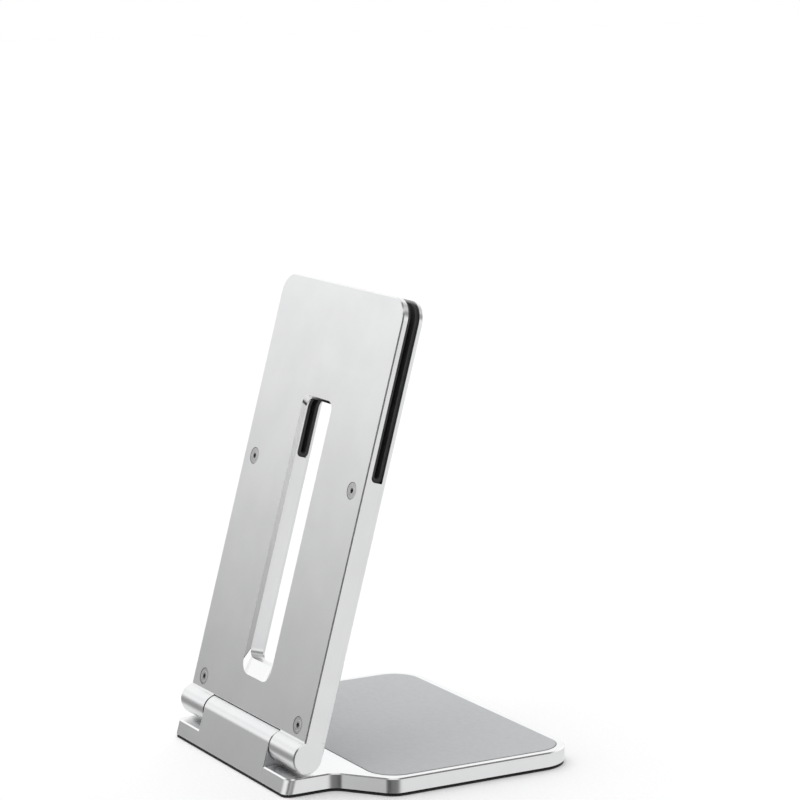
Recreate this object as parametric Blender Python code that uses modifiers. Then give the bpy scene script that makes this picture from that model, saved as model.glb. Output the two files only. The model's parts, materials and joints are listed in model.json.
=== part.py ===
"""Folding aluminium stand that grips a tablet by its kickstand: base, friction hinge and slotted arm.

The stand faces -Y, its back is +Y and its hinge runs along X. It rests on Z = 0, with the origin under the
middle of its footprint. Lengths are in metres. The arm is drawn upright in the frame of an empty on the
hinge axis, where local Z runs up the arm and local +Y is the arm's rear, and the empty leans it forward.
"""

import math

import bmesh
import bpy
from mathutils import Matrix

MM = 0.001
GAP = 0.1 * MM  # between metal pieces that are clamped face to face
FIT_GAP = 0.3 * MM  # round a piece that drops into a pocket or a bore
OVERSHOOT = 1 * MM  # how far a cutter runs past the face it opens

# Base
FOOT_THICKNESS = 0.8 * MM
FOOT_INSET = 0.3 * MM
BASE_BOTTOM = FOOT_THICKNESS + GAP
BASE_THICKNESS = 6.7 * MM
BASE_TOP = BASE_BOTTOM + BASE_THICKNESS
BASE_DEPTH = 129 * MM
BASE_HALF_WIDTH = 72.2 * MM
NECK_HALF_WIDTH = 52.2 * MM
FRONT_RADIUS = 16 * MM
SHOULDER_RADIUS = 9 * MM
NECK_RADIUS = 8 * MM
REAR_RADIUS = 4.2 * MM
RIM = 3.3 * MM
PAD_LENGTH = 89.9 * MM
PAD_THICKNESS = 1.3 * MM
PAD_POCKET_DEPTH = 1.2 * MM
EDGE_CHAMFER = 0.5 * MM

# Hinge
LEAN = math.radians(15)  # how far the arm leans forward at rest
BARREL_RADIUS = 6.7 * MM
HINGE_HEIGHT = BASE_BOTTOM + 14.5 * MM
HINGE_BEHIND_MIDDLE = 53.7 * MM
KNUCKLE_HALF_WIDTH = 30.3 * MM  # the base's knuckle, in the middle
WASHER_SPACE = 0.7 * MM  # between the base's knuckle and the arm's
WASHER_THICKNESS = 0.5 * MM
WASHER_RADIUS = 5.9 * MM
SHAFT_RADIUS = 3 * MM
SHAFT_FLAT = 2.3 * MM  # from the shaft's axis to the flat on its keyed end
SHAFT_KEY_LENGTH = 16 * MM
BUSH_OUTER_RADIUS = 4.3 * MM
BUSH_INNER_RADIUS = SHAFT_RADIUS + 0.15 * MM
BUSH_LENGTH = 22 * MM
BORE_RADIUS = BUSH_OUTER_RADIUS + 0.15 * MM
SPRING_POCKET_RADIUS = 5.2 * MM
SPRING_POCKET_DEPTH = 14 * MM
SPRING_RADIUS = 4.7 * MM
SPRING_COUNT = 4
SPRING_THICKNESS = 0.5 * MM
SPRING_RISE = 0.35 * MM  # how far each disc spring is dished
NUT_ACROSS_CORNERS = 9.2 * MM
NUT_THICKNESS = 3.6 * MM
CAP_PLUG_DEPTH = 1.6 * MM
CAP_SEAM = 0.2 * MM  # the dark ring between the cap and the knuckle
CAP_FLANGE_THICKNESS = 1 * MM
CAP_FLANGE_RADIUS = BARREL_RADIUS - 0.4 * MM

# Arm, measured from the hinge axis
ARM_HALF_WIDTH = 52.5 * MM
ARM_LENGTH = 190 * MM
ARM_REAR = 3 * MM
ARM_FRONT = -BARREL_RADIUS
ARM_CORNER_RADIUS = 9 * MM
KNUCKLE_FILLET = 1 * MM  # where the rear face runs into the knuckles
FRONT_PLATE_THICKNESS = 1.8 * MM
FRONT_PLATE_FOOT = 6.9 * MM  # just below the notch, so that no thin lip is left over it
REAR_JAW_THICKNESS = 2.4 * MM
NOTCH_RADIUS = 7.05 * MM  # the notch follows the base's knuckle about the hinge axis
SLOT_FLOOR = 115 * MM
SLOT_RADIUS = 2 * MM
LINER_THICKNESS = 1.5 * MM
LINER_MARGIN = 1 * MM  # from the liner's edge to the top of the jaws
OPENING_HALF_WIDTH = 11.5 * MM
OPENING_BOTTOM = 27.9 * MM
OPENING_TOP = 140.4 * MM
OPENING_RADIUS = 4 * MM
FLARE_SIDE = 1.2 * MM
FLARE_BOTTOM = 7 * MM
FLARE_DEPTH = 1.7 * MM
FLARE_BOTTOM_RADIUS = 7.5 * MM

# Screws that clamp the front plate to the arm, and the nuts pressed into the plate
SCREW_X = 43.3 * MM
SCREW_HEIGHTS = {"upper": 108.7 * MM, "lower": 10.7 * MM}
SCREW_HEAD_RADIUS = 3.5 * MM
SCREW_HEAD_DEPTH = 1.9 * MM
SCREW_RADIUS = 1.5 * MM
SCREW_LENGTH = 7.2 * MM
HEX_RADIUS = 1.2 * MM
HEX_DEPTH = 1.2 * MM
NUT_BODY_RADIUS = 2.9 * MM
NUT_BODY_HEIGHT = 2 * MM

ROUND_SIDES = 64
SMALL_SIDES = 32

HINGE_Y = HINGE_BEHIND_MIDDLE
FRONT_Y = -BASE_DEPTH / 2
REAR_Y = BASE_DEPTH / 2
SLOT_REAR = ARM_REAR - REAR_JAW_THICKNESS
SLOT_FRONT = ARM_FRONT + FRONT_PLATE_THICKNESS
ARM_KNUCKLE_START = KNUCKLE_HALF_WIDTH + WASHER_SPACE


def clear_scene():
    for obj in list(bpy.data.objects):
        bpy.data.objects.remove(obj)


def collection(name):
    made = bpy.data.collections.new(name)
    bpy.context.scene.collection.children.link(made)
    return made


def material(name, colour, roughness, metallic=0.0):
    made = bpy.data.materials.new(name)
    made.use_nodes = True
    shader = made.node_tree.nodes["Principled BSDF"]
    shader.inputs["Base Color"].default_value = (*colour, 1)
    shader.inputs["Roughness"].default_value = roughness
    shader.inputs["Metallic"].default_value = metallic
    return made


def link(obj, into, finish=None, parent=None):
    """Puts a new object in its collection, with its material and parent."""
    into.objects.link(obj)
    obj.parent = parent
    if finish:
        obj.data.materials.append(finish)
    return obj


def cutter(obj, parent=None):
    link(obj, CUTTERS, parent=parent)
    obj.hide_render = True
    obj.display_type = "WIRE"
    return obj


def rounded(corners, segments=8):
    """The closed outline through these (u, v, radius) corners, with an arc of that radius at each."""
    outline = []
    for index, (u, v, radius) in enumerate(corners):
        before = corners[index - 1]
        after = corners[(index + 1) % len(corners)]
        if radius == 0:
            outline.append((u, v))
            continue
        to_before = math.atan2(before[1] - v, before[0] - u)
        to_after = math.atan2(after[1] - v, after[0] - u)
        opening = (to_after - to_before) % math.tau
        turn = 1 if opening < math.pi else -1
        half = (opening if turn == 1 else math.tau - opening) / 2
        middle = to_before + turn * half
        centre_u = u + radius / math.sin(half) * math.cos(middle)
        centre_v = v + radius / math.sin(half) * math.sin(middle)
        sweep = math.pi - 2 * half
        start = middle + math.pi + turn * sweep / 2
        for step in range(segments + 1):
            angle = start - turn * sweep * step / segments
            outline.append((centre_u + radius * math.cos(angle), centre_v + radius * math.sin(angle)))
    return outline


def box_corners(low_u, low_v, high_u, high_v, low_radius, high_radius):
    """A rectangle's corners, with one radius at its low edge and another at its high edge."""
    return [
        (low_u, low_v, low_radius),
        (high_u, low_v, low_radius),
        (high_u, high_v, high_radius),
        (low_u, high_v, high_radius),
    ]


# Turns a slab drawn in local XY, with its thickness along Z, into the plane it belongs to.
PLANES = {
    "XY": Matrix.Identity(4),
    "XZ": Matrix.Rotation(math.pi / 2, 4, "X") @ Matrix.Scale(-1, 4, (0, 0, 1)),
    "YZ": Matrix(((0, 0, 1, 0), (1, 0, 0, 0), (0, 1, 0, 0), (0, 0, 0, 1))),
}


def slab(name, outline, low, high, plane="XY"):
    """A flat outline in this plane, filled and extruded from low to high along the plane's normal."""
    curve = bpy.data.curves.new(name, "CURVE")
    curve.dimensions = "2D"
    curve.fill_mode = "BOTH"
    curve.extrude = (high - low) / 2
    spline = curve.splines.new("POLY")
    spline.points.add(len(outline) - 1)
    for point, (u, v) in zip(spline.points, outline):
        point.co = (u, v, 0, 1)
    spline.use_cyclic_u = True
    drawn = bpy.data.objects.new(name, curve)
    bpy.context.scene.collection.objects.link(drawn)
    graph = bpy.context.evaluated_depsgraph_get()
    mesh = bpy.data.meshes.new_from_object(drawn.evaluated_get(graph))
    bpy.data.objects.remove(drawn)
    mesh.transform(PLANES[plane] @ Matrix.Translation((0, 0, (low + high) / 2)))
    weld_and_face_out(mesh)
    return bpy.data.objects.new(name, mesh)


def weld_and_face_out(mesh):
    edit = bmesh.new()
    edit.from_mesh(mesh)
    bmesh.ops.remove_doubles(edit, verts=edit.verts, dist=1e-6)
    bmesh.ops.recalc_face_normals(edit, faces=edit.faces)
    edit.to_mesh(mesh)
    edit.free()


def turned(name, profile, sides=ROUND_SIDES):
    """A profile of (radius, x) points turned about the hinge's axis, as one closed solid.

    The points run along the outer side towards -X, and a bored piece's profile comes back along its bore.
    """
    mesh = bpy.data.meshes.new(name)
    edit = bmesh.new()
    points = [edit.verts.new((radius, 0, x)) for radius, x in profile]
    bored = all(radius > 0 for radius, _ in profile)
    for first, second in zip(points, points[1:] + points[:1] if bored else points[1:]):
        edit.edges.new((first, second))
    edit.to_mesh(mesh)
    edit.free()
    obj = bpy.data.objects.new(name, mesh)
    screw = obj.modifiers.new("turn", "SCREW")
    screw.axis = "Z"
    screw.steps = sides
    screw.render_steps = sides
    screw.use_merge_vertices = True
    screw.merge_threshold = 1e-6
    obj.rotation_euler.y = math.pi / 2
    return obj


def cylinder(name, radius, start, end, sides=ROUND_SIDES):
    return turned(name, [(0, end), (radius, end), (radius, start), (0, start)], sides)


def boolean(obj, other, operation="DIFFERENCE"):
    modifier = obj.modifiers.new(other.name, "BOOLEAN")
    modifier.operation = operation
    modifier.object = other


def chamfer(obj, width=EDGE_CHAMFER, angle=50):
    weld = obj.modifiers.new("weld", "WELD")
    weld.merge_threshold = 1e-6
    modifier = obj.modifiers.new("edge_chamfer", "BEVEL")
    modifier.width = width
    modifier.segments = 1
    modifier.limit_method = "ANGLE"
    modifier.angle_limit = math.radians(angle)
    modifier.use_clamp_overlap = False


def smooth(obj):
    obj.data.shade_smooth()
    obj.data.set_sharp_from_angle(angle=math.radians(30))


def lean_back_edge(mesh, bottom):
    """Slopes the rear edge of the base forward as it rises, in line with the leaning arm."""
    for vertex in mesh.vertices:
        if vertex.co.y > REAR_Y - 3 * REAR_RADIUS:
            vertex.co.y -= (vertex.co.z - bottom) * math.tan(LEAN)


def base_outline(inset=0.0):
    neck = HINGE_Y - 12.2 * MM
    shoulder = HINGE_Y - 29.2 * MM
    right = [
        (NECK_HALF_WIDTH - inset, REAR_Y - inset, REAR_RADIUS),
        (NECK_HALF_WIDTH - inset, neck - inset, NECK_RADIUS),
        (BASE_HALF_WIDTH - inset, shoulder - inset, SHOULDER_RADIUS),
        (BASE_HALF_WIDTH - inset, FRONT_Y + inset, FRONT_RADIUS - inset),
    ]
    left = [(-x, y, radius) for x, y, radius in reversed(right)]
    return rounded(left + right)


def pad_outline(gap=0.0):
    half_width = BASE_HALF_WIDTH - RIM - gap
    front = FRONT_Y + RIM + gap
    radius = FRONT_RADIUS - RIM - gap
    rear = FRONT_Y + RIM + PAD_LENGTH - gap
    return rounded(box_corners(-half_width, front, half_width, rear, radius, radius))


def riser_outline():
    """Side view of the block that carries the base's knuckle: a leaning rear face, a barrel, an upright front."""
    sunk = BASE_BOTTOM + BASE_THICKNESS / 2
    rear_foot = (
        HINGE_Y + BARREL_RADIUS * math.cos(LEAN)
        + (HINGE_HEIGHT + BARREL_RADIUS * math.sin(LEAN) - sunk) * math.tan(LEAN)
    )
    outline = [(HINGE_Y - BARREL_RADIUS, sunk), (rear_foot, sunk)]
    steps = ROUND_SIDES // 2
    sweep = math.pi - LEAN
    for step in range(steps + 1):
        angle = LEAN + sweep * step / steps
        outline.append(
            (HINGE_Y + BARREL_RADIUS * math.cos(angle), HINGE_HEIGHT + BARREL_RADIUS * math.sin(angle))
        )
    return outline


def make_base():
    plate = link(slab("base_plate", base_outline(), BASE_BOTTOM, BASE_TOP), PARTS, ALUMINIUM)
    lean_back_edge(plate.data, BASE_BOTTOM)
    chamfer(plate)
    inside = 0.01 * MM
    profile = [(y - inside, z) for y, z in riser_outline()]
    riser = slab("riser", profile, -KNUCKLE_HALF_WIDTH, KNUCKLE_HALF_WIDTH, "YZ")
    chamfer(cutter(riser), 0.4 * MM)
    boolean(plate, riser, "UNION")
    boolean(plate, cutter(slab("pad_pocket", pad_outline(), BASE_TOP - PAD_POCKET_DEPTH, BASE_TOP + OVERSHOOT)))
    bore = cylinder("base_bore", BORE_RADIUS, -KNUCKLE_HALF_WIDTH - OVERSHOOT, KNUCKLE_HALF_WIDTH + OVERSHOOT)
    bore.location = (0, HINGE_Y, HINGE_HEIGHT)
    boolean(plate, cutter(bore))

    pad_low = BASE_TOP - PAD_POCKET_DEPTH + GAP
    link(slab("base_top_pad", pad_outline(FIT_GAP), pad_low, pad_low + PAD_THICKNESS), PARTS, SILICONE)
    foot = link(slab("base_foot_sheet", base_outline(FOOT_INSET), 0, FOOT_THICKNESS), PARTS, RUBBER)
    lean_back_edge(foot.data, BASE_BOTTOM)


def arm_side_outline():
    """Side view of the arm with its front plate, as (local Y, local Z), with the knuckle's barrel at the foot.

    It runs past the arm's top, which face_outline trims.
    """
    fillet_y = ARM_REAR + KNUCKLE_FILLET
    fillet_reach = BARREL_RADIUS + KNUCKLE_FILLET
    rear_angle = math.acos(fillet_y / fillet_reach)
    sweep = math.pi + rear_angle
    steps = ROUND_SIDES * 5 // 8
    outline = []
    for step in range(steps + 1):
        angle = math.pi + sweep * step / steps
        outline.append((BARREL_RADIUS * math.cos(angle), BARREL_RADIUS * math.sin(angle)))
    fillet_z = fillet_reach * math.sin(rear_angle)
    fillet_steps = 4
    for step in range(1, fillet_steps + 1):
        angle = math.pi + rear_angle * (1 - step / fillet_steps)
        outline.append((fillet_y + KNUCKLE_FILLET * math.cos(angle), fillet_z + KNUCKLE_FILLET * math.sin(angle)))
    outline.append((ARM_REAR, ARM_LENGTH + OVERSHOOT))
    outline.append((ARM_FRONT, ARM_LENGTH + OVERSHOOT))
    return outline


def face_outline(bottom, inset=0.0, radius=ARM_CORNER_RADIUS):
    """The arm seen square on, from this height to its rounded top."""
    half = ARM_HALF_WIDTH - inset
    return rounded(box_corners(-half, bottom, half, ARM_LENGTH - inset, 0, radius - inset))


def opening_outline(side=0.0, bottom=0.0, bottom_radius=OPENING_RADIUS):
    """The cable opening's outline, widened by this much at its sides and at its lower end."""
    half = OPENING_HALF_WIDTH + side
    corners = box_corners(-half, OPENING_BOTTOM - bottom, half, OPENING_TOP + side, bottom_radius, OPENING_RADIUS)
    return rounded(corners)


def flare_cutter():
    """A loft from the opening's wide mouth on the rear face down to its straight walls."""
    slope = OVERSHOOT / FLARE_DEPTH
    mouth = opening_outline(
        FLARE_SIDE * (1 + slope), FLARE_BOTTOM * (1 + slope), FLARE_BOTTOM_RADIUS
    )
    throat = opening_outline()
    mesh = bpy.data.meshes.new("opening_flare")
    edit = bmesh.new()
    outer = [edit.verts.new((x, ARM_REAR + OVERSHOOT, z)) for x, z in mouth]
    inner = [edit.verts.new((x, ARM_REAR - FLARE_DEPTH, z)) for x, z in throat]
    count = len(outer)
    for index in range(count):
        after = (index + 1) % count
        edit.faces.new((outer[index], outer[after], inner[after], inner[index]))
    edit.faces.new(outer)
    edit.faces.new(inner)
    bmesh.ops.recalc_face_normals(edit, faces=edit.faces)
    edit.to_mesh(mesh)
    edit.free()
    return cutter(bpy.data.objects.new("opening_flare", mesh), ARM)


def arm_cutter(name, outline, low, high, plane):
    return cutter(slab(name, outline, low, high, plane), ARM)


def notch_outline(bottom):
    """Side view of the notch: it clears everything below the hinge and curves over the base's knuckle behind it."""
    far = 20 * MM
    steps = ROUND_SIDES // 4
    arc = [
        (NOTCH_RADIUS * math.cos(math.pi / 2 * step / steps), NOTCH_RADIUS * math.sin(math.pi / 2 * step / steps))
        for step in range(steps + 1)
    ]
    return [(-far, bottom), (far, bottom), (far, 0), *arc, (-far, NOTCH_RADIUS)]


def screw_places():
    for level, height in SCREW_HEIGHTS.items():
        for side, sign in (("left", 1), ("right", -1)):
            yield f"{level}_{side}", (sign * SCREW_X, 0, height)


def facing_rear(obj, place):
    """Stands a piece made about its own Z square to the arm, with its upper end to the rear, at its place."""
    obj.matrix_basis = Matrix.Translation(place) @ Matrix.Rotation(-math.pi / 2, 4, "X")
    return obj


def screw_hole(name, place):
    """A countersunk hole, drawn along the screw's axis from its tip to past the rear face."""
    clearance = 0.15 * MM
    neck = ARM_REAR - SCREW_HEAD_DEPTH
    profile = [
        (0, ARM_REAR + OVERSHOOT),
        (SCREW_HEAD_RADIUS + clearance, ARM_REAR + OVERSHOOT),
        (SCREW_HEAD_RADIUS + clearance, ARM_REAR - 0.3 * MM),
        (SCREW_RADIUS + clearance, neck),
        (SCREW_RADIUS + clearance, SLOT_FRONT - OVERSHOOT),
        (0, SLOT_FRONT - OVERSHOOT),
    ]
    return facing_rear(cutter(turned(name, profile, SMALL_SIDES), ARM), place)


def nut_pocket(name, place):
    radius = NUT_BODY_RADIUS + 0.2 * MM
    top = SLOT_FRONT + NUT_BODY_HEIGHT + FIT_GAP
    hole = cylinder(name, radius, SLOT_FRONT - OVERSHOOT, top, SMALL_SIDES)
    return facing_rear(cutter(hole, ARM), place)


def make_arm_frame():
    reach = ARM_HALF_WIDTH + OVERSHOOT
    frame = slab("arm_frame", arm_side_outline(), -reach, reach, "YZ")
    link(frame, PARTS, ALUMINIUM, ARM)
    below = -BARREL_RADIUS - OVERSHOOT
    square_on = face_outline(below)
    boolean(frame, arm_cutter("arm_face", square_on, -20 * MM, 20 * MM, "XZ"), "INTERSECT")
    chamfer(frame)
    slot = rounded(
        [
            (SLOT_FRONT - OVERSHOOT, ARM_LENGTH + OVERSHOOT, 0),
            (SLOT_FRONT - OVERSHOOT, SLOT_FLOOR, 0),
            (SLOT_REAR, SLOT_FLOOR, SLOT_RADIUS),
            (SLOT_REAR, ARM_LENGTH + OVERSHOOT, 0),
        ]
    )
    boolean(frame, arm_cutter("kickstand_slot", slot, -reach, reach, "YZ"))
    rebate = rounded(
        box_corners(ARM_FRONT - OVERSHOOT, FRONT_PLATE_FOOT, SLOT_FRONT + GAP, ARM_LENGTH + OVERSHOOT, 0, 0)
    )
    boolean(frame, arm_cutter("front_plate_rebate", rebate, -reach, reach, "YZ"))
    boolean(frame, arm_cutter("knuckle_notch", notch_outline(below), -ARM_KNUCKLE_START, ARM_KNUCKLE_START, "YZ"))
    boolean(frame, arm_cutter("cable_opening", opening_outline(), -20 * MM, 20 * MM, "XZ"))
    boolean(frame, flare_cutter())

    blind_end = -ARM_HALF_WIDTH + 4 * MM
    shaft_clearance = 0.15 * MM
    key = key_profile(SHAFT_RADIUS + shaft_clearance, SHAFT_FLAT + shaft_clearance)
    boolean(frame, arm_cutter("shaft_key_bore", key, blind_end, -ARM_KNUCKLE_START + OVERSHOOT, "YZ"))
    through = cylinder(
        "shaft_bore", SHAFT_RADIUS + shaft_clearance, ARM_KNUCKLE_START - OVERSHOOT, ARM_HALF_WIDTH + OVERSHOOT
    )
    boolean(frame, cutter(through, ARM))
    pocket = cylinder(
        "spring_pocket", SPRING_POCKET_RADIUS, ARM_HALF_WIDTH - SPRING_POCKET_DEPTH, ARM_HALF_WIDTH + OVERSHOOT
    )
    boolean(frame, cutter(pocket, ARM))
    for name, place in screw_places():
        boolean(frame, screw_hole(f"screw_hole_{name}", place))
        boolean(frame, nut_pocket(f"nut_pocket_{name}", place))


def key_profile(radius, flat):
    """A round section with one flat side, as (local Y, local Z) points."""
    half_open = math.acos(flat / radius)
    steps = SMALL_SIDES
    sweep = math.tau - 2 * half_open
    return [
        (
            radius * math.cos(math.pi + half_open + sweep * step / steps),
            radius * math.sin(math.pi + half_open + sweep * step / steps),
        )
        for step in range(steps + 1)
    ]


def make_front_plate():
    outline = face_outline(FRONT_PLATE_FOOT + GAP)
    plate = slab("arm_front_plate", outline, ARM_FRONT, SLOT_FRONT, "XZ")
    link(plate, PARTS, ALUMINIUM, ARM)
    chamfer(plate, 0.4 * MM)
    wider = 1.6 * MM
    boolean(plate, arm_cutter("plate_opening", opening_outline(wider, wider), -20 * MM, 20 * MM, "XZ"))
    for name, place in screw_places():
        hole = cylinder(f"plate_hole_{name}", NUT_BODY_RADIUS - 0.8 * MM, SLOT_FRONT - 1.2 * MM,
                        SLOT_FRONT + OVERSHOOT, SMALL_SIDES)
        boolean(plate, facing_rear(cutter(hole, ARM), place))


def make_slot_liner():
    """One folded strip that lines the slot: a leg on each jaw, and a floor that the cable opening divides."""
    rear = SLOT_REAR - GAP
    front = SLOT_FRONT + GAP
    top = ARM_LENGTH - LINER_MARGIN
    floor = SLOT_FLOOR + GAP
    outer = SLOT_RADIUS
    inner = (rear - front) / 2 - LINER_THICKNESS
    outline = rounded(
        [
            (front, top, 0),
            (front, floor, outer),
            (rear, floor, outer),
            (rear, top, 0),
            (rear - LINER_THICKNESS, top, 0),
            (rear - LINER_THICKNESS, floor + LINER_THICKNESS, inner * 0.98),
            (front + LINER_THICKNESS, floor + LINER_THICKNESS, inner * 0.98),
            (front + LINER_THICKNESS, top, 0),
        ],
        6,
    )
    liner = slab("slot_liner", outline, -ARM_HALF_WIDTH + 0.2 * MM, ARM_HALF_WIDTH - 0.2 * MM, "YZ")
    link(liner, PARTS, SILICONE_DARK, ARM)
    inset = LINER_MARGIN
    shape = face_outline(SLOT_FLOOR - 5 * MM, inset)
    boolean(liner, arm_cutter("liner_face", shape, -20 * MM, 20 * MM, "XZ"), "INTERSECT")
    boolean(liner, arm_cutter("liner_opening", opening_outline(0.3 * MM), -20 * MM, 20 * MM, "XZ"))


def make_screws():
    """Four countersunk socket screws from the rear, each into a nut pressed in the front plate."""
    shape = bpy.data.meshes.new("screw_socket")
    edit = bmesh.new()
    bmesh.ops.create_cone(
        edit, cap_ends=True, segments=6, radius1=HEX_RADIUS, radius2=HEX_RADIUS, depth=2 * HEX_DEPTH
    )
    edit.to_mesh(shape)
    edit.free()
    sunk = 0.1 * MM
    head = ARM_REAR - sunk
    tip = head - SCREW_LENGTH
    profile = [
        (0, head),
        (SCREW_HEAD_RADIUS, head),
        (SCREW_HEAD_RADIUS, head - 0.25 * MM),
        (SCREW_RADIUS, head - SCREW_HEAD_DEPTH),
        (SCREW_RADIUS, tip + 0.4 * MM),
        (SCREW_RADIUS - 0.4 * MM, tip),
        (0, tip),
    ]
    nut_top = SLOT_FRONT + NUT_BODY_HEIGHT
    nut_bore = SCREW_RADIUS + 0.15 * MM
    nut_profile = [
        (NUT_BODY_RADIUS, nut_top),
        (NUT_BODY_RADIUS, SLOT_FRONT + GAP),
        (NUT_BODY_RADIUS - 1 * MM, SLOT_FRONT + GAP),
        (NUT_BODY_RADIUS - 1 * MM, SLOT_FRONT - 1 * MM),
        (nut_bore, SLOT_FRONT - 1 * MM),
        (nut_bore, nut_top),
    ]
    for name, place in screw_places():
        screw = link(turned(f"arm_screw_{name}", profile, SMALL_SIDES), PARTS, STEEL, ARM)
        facing_rear(screw, place)
        socket = cutter(bpy.data.objects.new(f"socket_{name}", shape), ARM)
        facing_rear(socket, (place[0], head, place[2]))
        boolean(screw, socket)
        nut = link(turned(f"press_nut_{name}", nut_profile, SMALL_SIDES), PARTS, STEEL, ARM)
        facing_rear(nut, place)


def tube(name, outer, inner, start, end, finish, sides=SMALL_SIDES, parent=None):
    """A ring or sleeve on the hinge's axis, from x = start to x = end."""
    profile = [(outer, end), (outer, start), (inner, start), (inner, end)]
    made = link(turned(name, profile, sides), PARTS, finish, parent)
    if parent is None:
        made.location = (0, HINGE_Y, HINGE_HEIGHT)
    return made


def make_hinge():
    """A shaft keyed in the arm's right knuckle, squeezed by disc springs and a nut in the left one."""
    for side, sign in (("left", 1), ("right", -1)):
        outer_end = sign * (KNUCKLE_HALF_WIDTH - 0.5 * MM)
        inner_end = outer_end - sign * BUSH_LENGTH
        start, end = sorted((outer_end, inner_end))
        tube(f"hinge_bush_{side}", BUSH_OUTER_RADIUS, BUSH_INNER_RADIUS, start, end, BRONZE)
        middle = sign * (KNUCKLE_HALF_WIDTH + WASHER_SPACE / 2)
        half = WASHER_THICKNESS / 2
        tube(f"friction_washer_{side}", WASHER_RADIUS, BUSH_INNER_RADIUS, middle - half, middle + half,
             NYLON, ROUND_SIDES)

    floor = ARM_HALF_WIDTH - SPRING_POCKET_DEPTH
    bore = SHAFT_RADIUS + 0.15 * MM
    start = floor + GAP
    tube("spring_seat", SPRING_RADIUS, bore, start, start + 0.8 * MM, STEEL, parent=ARM)
    start += 0.8 * MM + GAP
    pitch = SPRING_THICKNESS + GAP
    for index in range(SPRING_COUNT):
        low = start + index * pitch
        profile = [
            (SPRING_RADIUS, low + SPRING_THICKNESS),
            (SPRING_RADIUS, low),
            (bore, low + SPRING_RISE),
            (bore, low + SPRING_RISE + SPRING_THICKNESS),
        ]
        link(turned(f"disc_spring_{index + 1}", profile, SMALL_SIDES), PARTS, STEEL, ARM)
    start += SPRING_COUNT * pitch + SPRING_RISE + GAP
    hexagon = [
        (NUT_ACROSS_CORNERS / 2 * math.cos(math.radians(60 * side)),
         NUT_ACROSS_CORNERS / 2 * math.sin(math.radians(60 * side)))
        for side in range(6)
    ]
    nut = link(slab("hinge_lock_nut", hexagon, start, start + NUT_THICKNESS, "YZ"), PARTS, STEEL, ARM)
    nut_bore = cylinder("nut_bore", bore, start - OVERSHOOT, start + NUT_THICKNESS + OVERSHOOT, SMALL_SIDES)
    boolean(nut, cutter(nut_bore, ARM))
    shaft_end = start + NUT_THICKNESS + 1 * MM
    shaft_start = -ARM_KNUCKLE_START - SHAFT_KEY_LENGTH
    chamfered = SHAFT_RADIUS - 0.4 * MM
    shaft = turned(
        "hinge_shaft",
        [
            (0, shaft_end),
            (chamfered, shaft_end),
            (SHAFT_RADIUS, shaft_end - 0.4 * MM),
            (SHAFT_RADIUS, shaft_start),
            (0, shaft_start),
        ],
        SMALL_SIDES,
    )
    link(shaft, PARTS, STEEL, ARM)
    wide = 5 * MM
    flat = rounded(box_corners(-SHAFT_FLAT - wide, -wide, -SHAFT_FLAT, wide, 0, 0))
    boolean(shaft, arm_cutter("shaft_flat", flat, shaft_start - OVERSHOOT, -ARM_KNUCKLE_START, "YZ"))

    seat = ARM_HALF_WIDTH + CAP_SEAM
    outside = seat + CAP_FLANGE_THICKNESS
    plug_radius = SPRING_POCKET_RADIUS - 0.15 * MM
    cap_edge = 0.4 * MM
    cap = turned(
        "hinge_end_cap",
        [
            (0, outside),
            (CAP_FLANGE_RADIUS - cap_edge, outside),
            (CAP_FLANGE_RADIUS, outside - cap_edge),
            (CAP_FLANGE_RADIUS, seat),
            (plug_radius, seat),
            (plug_radius, ARM_HALF_WIDTH - CAP_PLUG_DEPTH),
            (0, ARM_HALF_WIDTH - CAP_PLUG_DEPTH),
        ],
    )
    link(cap, PARTS, ALUMINIUM, ARM)


clear_scene()
PARTS = collection("tablet_stand")
CUTTERS = collection("cutters")
ALUMINIUM = material("satin_aluminium", (0.78, 0.79, 0.80), 0.38, 1.0)
STEEL = material("stainless_steel", (0.55, 0.55, 0.56), 0.3, 1.0)
BRONZE = material("sintered_bronze", (0.45, 0.30, 0.16), 0.45, 1.0)
SILICONE = material("grey_silicone", (0.47, 0.48, 0.49), 0.75)
SILICONE_DARK = material("dark_silicone", (0.06, 0.06, 0.065), 0.7)
RUBBER = material("black_rubber", (0.02, 0.02, 0.02), 0.8)
NYLON = material("black_nylon", (0.03, 0.03, 0.03), 0.5)
ARM = bpy.data.objects.new("arm_axis", None)
ARM.location = (0, HINGE_Y, HINGE_HEIGHT)
ARM.rotation_euler.x = LEAN
PARTS.objects.link(ARM)

make_base()
make_arm_frame()
make_front_plate()
make_slot_liner()
make_screws()
make_hinge()

for part in PARTS.objects:
    if part.type == "MESH":
        smooth(part)
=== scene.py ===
"""Looks for the folding tablet stand: finer metal bodies, silicone and rubber pieces, their finishes and a studio.

Everything is in metres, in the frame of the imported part: the stand faces -Y and its hinge runs along X. Pieces of
the arm are drawn upright about the hinge axis, with Z up the arm and +Y its rear, and then leaned into place.
"""

import json
import math

import bmesh
import bpy
from mathutils import Matrix, Vector


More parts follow.
